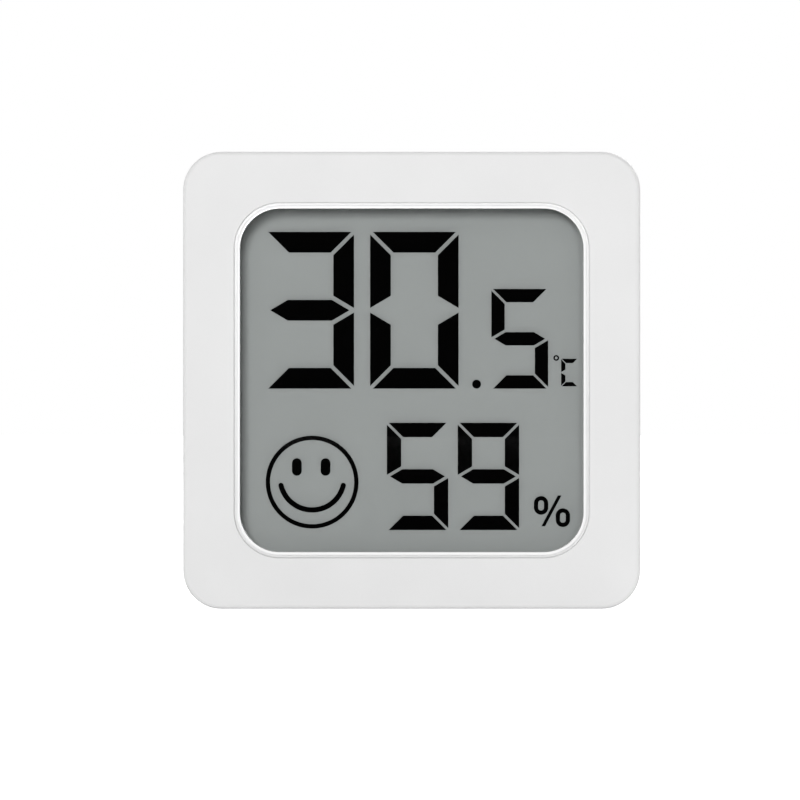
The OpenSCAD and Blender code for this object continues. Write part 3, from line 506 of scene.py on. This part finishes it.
def stand_for(piece, body, slot, *nodes):
    """Ends a piece: smooth where it is round, on its body, in its nodes' place. The slot is not used."""
    select_only(piece)
    bpy.ops.object.shade_smooth_by_angle(angle=smooth_angle)
    even = piece.modifiers.new("even", "WEIGHTED_NORMAL")
    even.keep_sharp = True
    bpy.ops.object.modifier_apply(modifier="even")
    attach(piece, body)
    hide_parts(*nodes)


def solid_copy(node, name):
    """A copy of a CAD node as one closed mesh, its flat faces whole again."""
    select_only(cad_nodes[node])
    bpy.ops.object.duplicate()
    piece = bpy.context.object
    piece.name = name
    bpy.ops.mesh.customdata_custom_splitnormals_clear()
    open_piece(piece)
    bpy.ops.mesh.select_all(action="SELECT")
    bpy.ops.mesh.remove_doubles(threshold=merge_reach)
    bpy.ops.mesh.dissolve_limited(angle_limit=flat_angle)
    close_piece()
    return piece


def new_cylinder(name, radius, low, high, sides):
    """A cylinder on the Z axis, between two heights."""
    bpy.ops.object.select_all(action="DESELECT")
    bpy.ops.mesh.primitive_cylinder_add(
        vertices=sides, radius=radius, depth=high - low, location=(0, 0, (low + high) / 2))
    piece = bpy.context.object
    piece.name = name
    fix_place(piece)
    return piece


def new_block(name, size, middle):
    bpy.ops.object.select_all(action="DESELECT")
    bpy.ops.mesh.primitive_cube_add(size=1, location=middle, scale=size)
    piece = bpy.context.object
    piece.name = name
    fix_place(piece)
    return piece


def push_out(length, direction):
    """Extrudes the selected faces by a length."""
    bpy.ops.mesh.extrude_region_move(TRANSFORM_OT_translate={"value": Vector(direction) * length})


def on_side_walls(end):
    """Whether a point lies on the outside of the case's four walls."""
    straight = (case_high.x - case_low.x) / 2 - case_corner
    x = max(abs(end.x) - straight, 0)
    z = max(abs(end.z - case_middle.z) - straight, 0)
    return near(math.hypot(x, z), case_corner)


def make_shells():
    """Case halves and door, with the small roundings that a mould leaves on their edges."""
    seam_y = parting_y + parting_gap + parting_reveal
    front = solid_copy("front_case", "front_shell")
    soften(front, width_mm=0.08, wanted=lambda end: near(end.y, parting_y) and on_side_walls(end))
    stand_for(front, "case", "case_plastic", "front_case")
    rear = solid_copy("rear_case", "rear_shell")
    soften(rear, width_mm=0.08, wanted=lambda end: near(end.y, seam_y) and on_side_walls(end))
    soften(rear, width_mm=0.1, wanted=lambda end: near(end.y, rear_y))
    stand_for(rear, "case", "case_plastic", "rear_case")
    door = solid_copy("battery_door", "door_cap")
    soften(door, width_mm=0.12, wanted=lambda end: near(end.y, door_high.y))
    stand_for(door, "battery_door", "case_plastic", "battery_door")


def make_stand():
    """Stand with softened ends, and a row of grip ribs on its foot."""
    low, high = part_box("stand")
    bar = solid_copy("stand", "stand_bar")
    soften(bar, width_mm=0.15, wanted=lambda end: near(end.z, high.z))
    foot_w = 2.8 * MM
    rib_size = Vector((0.5, 0.36, 1.8)) * MM
    rib_pitch = 1.2 * MM
    rib_count = 7
    first_x = -rib_pitch * (rib_count - 1) / 2
    ribs = new_block("stand_ribs", rib_size, (first_x, high.y, low.z + foot_w / 2))
    soften(ribs, width_mm=0.15)
    row = ribs.modifiers.new("row", "ARRAY")
    row.count = rib_count
    row.use_relative_offset = False
    row.use_constant_offset = True
    row.constant_offset_displace = (rib_pitch, 0, 0)
    select_only(ribs)
    bpy.ops.object.modifier_apply(modifier="row")
    paint(ribs, rear_plastic)
    select_only(bar, ribs)
    bpy.ops.object.join()
    stand_for(bar, "stand", "case_plastic", "stand")


# Screws
screw_head_r = 1.5 * MM
screw_head_h = 1.0 * MM
screw_crest_r = 0.85 * MM
screw_core_r = 0.62 * MM
screw_point_l = 0.6 * MM
screw_sides = 48
point_taper = 0.3
thread_pitch = 0.6 * MM
thread_turns = 6
thread_steps = 20
recess_l = 1.75 * MM
recess_w = 0.42 * MM
recess_d = 0.7 * MM
recess_taper = (0.4, 0.5, 1)
driven_turns_deg = (20, 65, 40, 80)


def cut_cross_recess(screw):
    """Cuts a tapered cross into a screw's head, which faces up Z."""
    over = 0.1 * MM
    floor_z = screw_head_h - recess_d
    middle_z = floor_z + (recess_d + over) / 2
    blade = new_block("recess_blade", (recess_l, recess_w, recess_d + over), (0, 0, middle_z))
    open_piece(blade)
    pick_faces(blade, faces_down)
    bpy.ops.transform.resize(value=recess_taper, center_override=(0, 0, floor_z))
    close_piece()
    select_only(blade)
    bpy.ops.object.duplicate()
    second = bpy.context.object
    second.rotation_euler.z = math.radians(90)
    fix_place(second)
    for cutter in (blade, second):
        cut = screw.modifiers.new("recess", "BOOLEAN")
        cut.operation = "DIFFERENCE"
        cut.solver = "EXACT"
        cut.object = cutter
        select_only(screw)
        bpy.ops.object.modifier_apply(modifier=cut.name)
    select_only(blade, second)
    bpy.ops.object.delete()


def add_thread(screw, low_z):
    """Winds a V-shaped ridge round a screw's core."""
    ridge_r = screw_crest_r - screw_core_r
    bpy.ops.object.select_all(action="DESELECT")
    bpy.ops.mesh.primitive_circle_add(
        vertices=4, radius=ridge_r, location=(screw_core_r, 0, low_z), rotation=(math.radians(90), 0, 0))
    ridge = bpy.context.object
    fix_place(ridge)
    wind = ridge.modifiers.new("wind", "SCREW")
    wind.screw_offset = thread_pitch
    wind.iterations = thread_turns
    wind.steps = thread_steps
    wind.render_steps = thread_steps
    bpy.ops.object.modifier_apply(modifier="wind")
    open_piece(ridge, "EDGE")
    bpy.ops.mesh.select_all(action="SELECT")
    bpy.ops.mesh.remove_doubles(threshold=merge_reach)
    bpy.ops.mesh.fill_holes(sides=4)
    bpy.ops.mesh.normals_make_consistent(inside=False)
    close_piece()
    select_only(screw, ridge)
    bpy.ops.object.join()


def make_screws():
    """Four pan-head screws, each turned a little differently as driven."""
    low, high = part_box("case_screws")
    seat_y = high.y - screw_head_h
    shank_l = seat_y - low.y
    screw = new_cylinder("case_screw", screw_head_r, 0, screw_head_h, screw_sides)
    soften(screw, width_mm=0.4, wanted=lambda end: near(end.z, screw_head_h), segments=5)
    open_piece(screw)
    pick_faces(screw, faces_down)
    bpy.ops.mesh.inset(thickness=screw_head_r - screw_core_r)
    push_out(shank_l - screw_point_l, (0, 0, -1))
    push_out(screw_point_l, (0, 0, -1))
    bpy.ops.transform.resize(value=(point_taper, point_taper, 1), center_override=(0, 0, -shank_l))
    close_piece()
    cut_cross_recess(screw)
    add_thread(screw, screw_point_l - shank_l)
    paint(screw, screw_zinc)
    turns = iter(driven_turns_deg)
    for x in (low.x + screw_head_r, high.x - screw_head_r):
        for z in (low.z + screw_head_r, high.z - screw_head_r):
            select_only(screw)
            bpy.ops.object.duplicate()
            driven = bpy.context.object
            driven.rotation_euler = (math.radians(-90), math.radians(next(turns)), 0)
            driven.location = (x, seat_y, z)
            fix_place(driven)
            stand_for(driven, "case", "screw_steel", "case_screws")
    select_only(screw)
    bpy.ops.object.delete()


def make_coin_cell():
    """Coin cell: a can with a crimped lip, a gasket and the smaller cap inside it."""
    low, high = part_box("coin_cell")
    can_r = (high.x - low.x) / 2
    cell_t = high.y - low.y
    lip_w = 0.75 * MM
    cap_r = 8.5 * MM
    cap_h = 0.25 * MM
    groove_d = 0.15 * MM
    groove_z = cap_h + groove_d
    can_sides = 128
    cell = new_cylinder("cell_can", can_r, cap_h, cell_t, can_sides)
    open_piece(cell)
    pick_faces(cell, faces_down)
    bpy.ops.mesh.inset(thickness=lip_w)
    push_out(groove_d, (0, 0, 1))
    bpy.ops.mesh.inset(thickness=can_r - lip_w - cap_r)
    push_out(groove_z, (0, 0, -1))
    close_piece()
    soften(cell, width_mm=0.35, wanted=lambda end: near(end.z, cell_t), segments=4)
    soften(cell, width_mm=0.12, wanted=lambda end: near(end.z, cap_h))
    soften(cell, width_mm=0.2, wanted=lambda end: near(end.z, 0))
    paint(cell, cell_steel, cell_gasket)
    paint_faces(cell, 1, lambda middle, normal: near(middle.z, groove_z))
    cell.rotation_euler.x = math.radians(-90)
    cell.location = ((low.x + high.x) / 2, low.y, (low.z + high.z) / 2)
    fix_place(cell)
    stand_for(cell, "case", "cell_steel", "coin_cell")


def make_chip(name, size, middle, body_finish):
    """A chip part: its body, and a tinned cap round each end."""
    cap_l = 0.3 * MM
    cap_step = 0.03 * MM
    step_l = 0.02 * MM
    body = (size.x - 2 * cap_l, size.y - 2 * cap_step, size.z - 2 * cap_step)
    chip = new_block(name, body, middle)
    for side in (-1, 1):
        open_piece(chip)
        pick_faces(chip, lambda place, normal: normal.x * side > straight_on)
        push_out(step_l, (side, 0, 0))
        grow = (1, size.y / body[1], size.z / body[2])
        bpy.ops.transform.resize(value=grow, center_override=middle)
        push_out(cap_l - step_l, (side, 0, 0))
        close_piece()
    soften(
        chip, width_mm=0.03, wanted=lambda end: abs(end.x - middle.x) > body[0] / 2 + step_l, segments=2)
    paint(chip, body_finish, solder_tin)
    paint_faces(chip, 1, lambda place, normal: abs(place.x - middle.x) > body[0] / 2)
    return chip


def make_chips():
    """Resistors in one column of the board, and capacitors in the other."""
    chip_w = 0.8 * MM
    chip_pitch = 2.2 * MM
    columns = (
        ("chip_resistors", "resistor", "chip_black", chip_black, (0, 1, 2, 3, 4, 5)),
        ("chip_capacitors", "capacitor", "chip_tan", chip_tan, (0, 1, 4, 5)),
    )
    for node, name, slot, finish, rows in columns:
        low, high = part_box(node)
        size = Vector((high.x - low.x, high.y - low.y, chip_w))
        for row in rows:
            middle = (low + high) / 2
            middle.z = low.z + chip_w / 2 + row * chip_pitch
            chip = make_chip(name, size, middle, finish)
            stand_for(chip, "case", slot, node)


def make_switch():
    """Push switch: a moulded base under a drawn metal cover."""
    cover_h = 0.35 * MM
    switch_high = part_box("unit_switch")[1]
    cover_y = switch_high.y - cover_h
    switch = solid_copy("unit_switch", "switch_body")
    open_piece(switch)
    bpy.ops.mesh.select_all(action="SELECT")
    bpy.ops.mesh.bisect(plane_co=(0, cover_y, 0), plane_no=(0, 1, 0))
    close_piece()
    soften(switch, width_mm=0.08, wanted=lambda end: near(end.y, switch_high.y))
    paint(switch, switch_base, switch_cover)
    paint_faces(switch, 1, lambda middle, normal: middle.y > cover_y)
    stand_for(switch, "case", "switch_body", "unit_switch")


def make_sensors():
    """Humidity sensor's plate and thermistor's bead, each on its tinned leads."""
    plate_t = 0.6 * MM
    plate_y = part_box("humidity_sensor")[1].y - plate_t
    sensor = solid_copy("humidity_sensor", "sensor_plate")
    soften(sensor, width_mm=0.08, wanted=lambda end: end.y > plate_y - same_place)
    paint(sensor, sensor_coat, solder_tin)
    paint_faces(sensor, 1, lambda middle, normal: middle.y < plate_y - same_place)
    stand_for(sensor, "case", "sensor_plate", "humidity_sensor")
    bead_l = 1.8 * MM
    bead_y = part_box("thermistor")[1].y - bead_l
    bead = solid_copy("thermistor", "thermistor_bead")
    paint(bead, bead_resin, solder_tin)
    paint_faces(bead, 1, lambda middle, normal: middle.y < bead_y)
    stand_for(bead, "case", "bead_resin", "thermistor")


def make_contacts():
    """The two battery contacts, with the soft edges of punched sheet."""
    for node, name in (("negative_contact", "negative_leaf"), ("positive_contact", "positive_blade")):
        spring = solid_copy(node, name)
        soften(spring, width_mm=0.04, segments=2)
        stand_for(spring, "case", "spring_steel", node)


make_shells()
make_stand()
make_screws()
make_coin_cell()
make_chips()
make_switch()
make_sensors()
make_contacts()


# Studio

key_distance = 2.0
key_half_angle = math.radians(5.6)


def area_light(name, place, size, power):
    """A square light that looks at the case's middle."""
    light = bpy.data.lights.new(name, "AREA")
    light.shape = "SQUARE"
    light.size = size
    light.energy = power
    holder = bpy.data.objects.new(name, light)
    scene.collection.objects.link(holder)
    holder.location = place
    holder.rotation_mode = "QUATERNION"
    holder.rotation_quaternion = (case_middle - place).to_track_quat("-Z", "Y")


def from_case(left_deg, up_deg, distance):
    """A place in front of the case, turned to the left and up from its middle."""
    return case_middle + distance * Vector((
        -math.tan(math.radians(left_deg)), -1, math.tan(math.radians(up_deg)))).normalized()


def light_case():
    """Key from the upper left, a weak fill from the right, and soft light from above and behind."""
    key_place = from_case(left_deg=7.0, up_deg=9.2, distance=key_distance)
    fill_place = from_case(left_deg=-6.0, up_deg=3.0, distance=key_distance)
    top_place = from_case(left_deg=0, up_deg=30, distance=1.5)
    rear_place = case_middle + Vector((0.35, 0.7, 0.5))
    area_light("key", key_place, size=2 * key_distance * math.tan(key_half_angle), power=20.6)
    area_light("side_fill", fill_place, size=0.17, power=2.9)
    area_light("top_soft", top_place, size=0.5, power=1.9)
    area_light("rear_soft", rear_place, size=0.5, power=5.0)


def make_world():
    """White to the camera. As a light it is dark in front, bright at the sides and dim behind."""
    front_end = 0.36
    side_middle = 0.5
    rear_start = 0.7
    front_tone = 0.008
    rear_tone = 0.22
    horizon_strength = 2.5
    zenith_strength = 1.3
    world = bpy.data.worlds.new("studio")
    scene.world = world
    world.use_nodes = True
    tree = world.node_tree
    tree.nodes.clear()
    seen = add_node(tree, "ShaderNodeBackground", Color=(1, 1, 1, 1), Strength=1.0)
    lit = tree.nodes.new("ShaderNodeBackground")
    place = tree.nodes.new("ShaderNodeTexCoord")
    parts = tree.nodes.new("ShaderNodeSeparateXYZ")
    along = add_node(tree, "ShaderNodeMapRange", From_Min=-1.0, From_Max=1.0)
    rise = add_node(tree, "ShaderNodeMapRange", To_Min=horizon_strength, To_Max=zenith_strength)
    walls = tree.nodes.new("ShaderNodeValToRGB")
    front, side = walls.color_ramp.elements
    front.position = front_end
    front.color = (front_tone, front_tone, front_tone, 1)
    side.position = side_middle
    side.color = (1, 1, 1, 1)
    rear = walls.color_ramp.elements.new(rear_start)
    rear.color = (rear_tone, rear_tone, rear_tone, 1)
    path = tree.nodes.new("ShaderNodeLightPath")
    mix = tree.nodes.new("ShaderNodeMixShader")
    out = tree.nodes.new("ShaderNodeOutputWorld")
    tree.links.new(place.outputs["Generated"], parts.inputs["Vector"])
    tree.links.new(parts.outputs["Y"], along.inputs["Value"])
    tree.links.new(along.outputs["Result"], walls.inputs["Fac"])
    tree.links.new(walls.outputs["Color"], lit.inputs["Color"])
    tree.links.new(parts.outputs["Z"], rise.inputs["Value"])
    tree.links.new(rise.outputs["Result"], lit.inputs["Strength"])
    tree.links.new(path.outputs["Is Camera Ray"], mix.inputs["Fac"])
    tree.links.new(lit.outputs["Background"], mix.inputs[1])
    tree.links.new(seen.outputs["Background"], mix.inputs[2])
    tree.links.new(mix.outputs["Shader"], out.inputs["Surface"])


def paint_floor():
    """Floor paint: white to the camera, dark in reflections, and see-through from below."""
    floor_tone = 0.55
    glow_strength = 0.3
    camera_glow = 0.8
    reflected_tone = 0.02
    material, tree, shader = new_material("floor_paint")
    shader.inputs["Base Color"].default_value = (floor_tone, floor_tone, floor_tone, 1)
    shader.inputs["Roughness"].default_value = 0.9
    shader.inputs["Specular IOR Level"].default_value = 0.0
    shader.inputs["Emission Color"].default_value = (1, 1, 1, 1)
    path = tree.nodes.new("ShaderNodeLightPath")
    seen_glow = math_node(tree, "MULTIPLY", path.outputs["Is Camera Ray"], camera_glow)
    glow = math_node(tree, "ADD", seen_glow, glow_strength)
    dark = add_node(
        tree, "ShaderNodeBsdfDiffuse", Color=(reflected_tone, reflected_tone, reflected_tone, 1))
    mix = tree.nodes.new("ShaderNodeMixShader")
    side = tree.nodes.new("ShaderNodeNewGeometry")
    open_below = tree.nodes.new("ShaderNodeMixShader")
    nothing = tree.nodes.new("ShaderNodeBsdfTransparent")
    tree.links.new(glow, shader.inputs["Emission Strength"])
    tree.links.new(path.outputs["Is Glossy Ray"], mix.inputs["Fac"])
    tree.links.new(shader.outputs["BSDF"], mix.inputs[1])
    tree.links.new(dark.outputs["BSDF"], mix.inputs[2])
    tree.links.new(side.outputs["Backfacing"], open_below.inputs["Fac"])
    tree.links.new(mix.outputs["Shader"], open_below.inputs[1])
    tree.links.new(nothing.outputs["BSDF"], open_below.inputs[2])
    tree.links.new(open_below.outputs["Shader"], tree.nodes["Material Output"].inputs["Surface"])
    return material


def make_floor():
    """Floor that the case stands on, a hair below it so that the two faces don't coincide."""
    floor_size = 4
    floor_gap = 0.02 * MM
    bpy.ops.object.select_all(action="DESELECT")
    bpy.ops.mesh.primitive_plane_add(size=floor_size, location=(0, 0, case_low.z - floor_gap))
    floor = bpy.context.object
    floor.name = "floor"
    floor.data.materials.append(paint_floor())


def place_camera():
    """Camera straight in front of the case, which lies in its picture as in the photograph."""
    camera_data = bpy.data.cameras.new("camera")
    camera = bpy.data.objects.new("camera", camera_data)
    scene.collection.objects.link(camera)
    scene.camera = camera
    frame_width = (case_high.x - case_low.x) * photo_px / case_width_px
    camera_data.lens = lens_mm
    camera_data.sensor_width = sensor_mm
    camera_data.shift_x = (photo_px / 2 - case_middle_px[0]) / photo_px
    camera_data.shift_y = (case_middle_px[1] - photo_px / 2) / photo_px
    camera.location = (case_middle.x, front_y - frame_width * lens_mm / sensor_mm, case_middle.z)
    camera.rotation_euler = (math.radians(90), 0, 0)


light_case()
make_world()
make_floor()
place_camera()

# A look through the display passes both sides of several clear sheets
clear_sides = 24
scene.cycles.transparent_max_bounces = clear_sides
scene.view_settings.view_transform = "Standard"
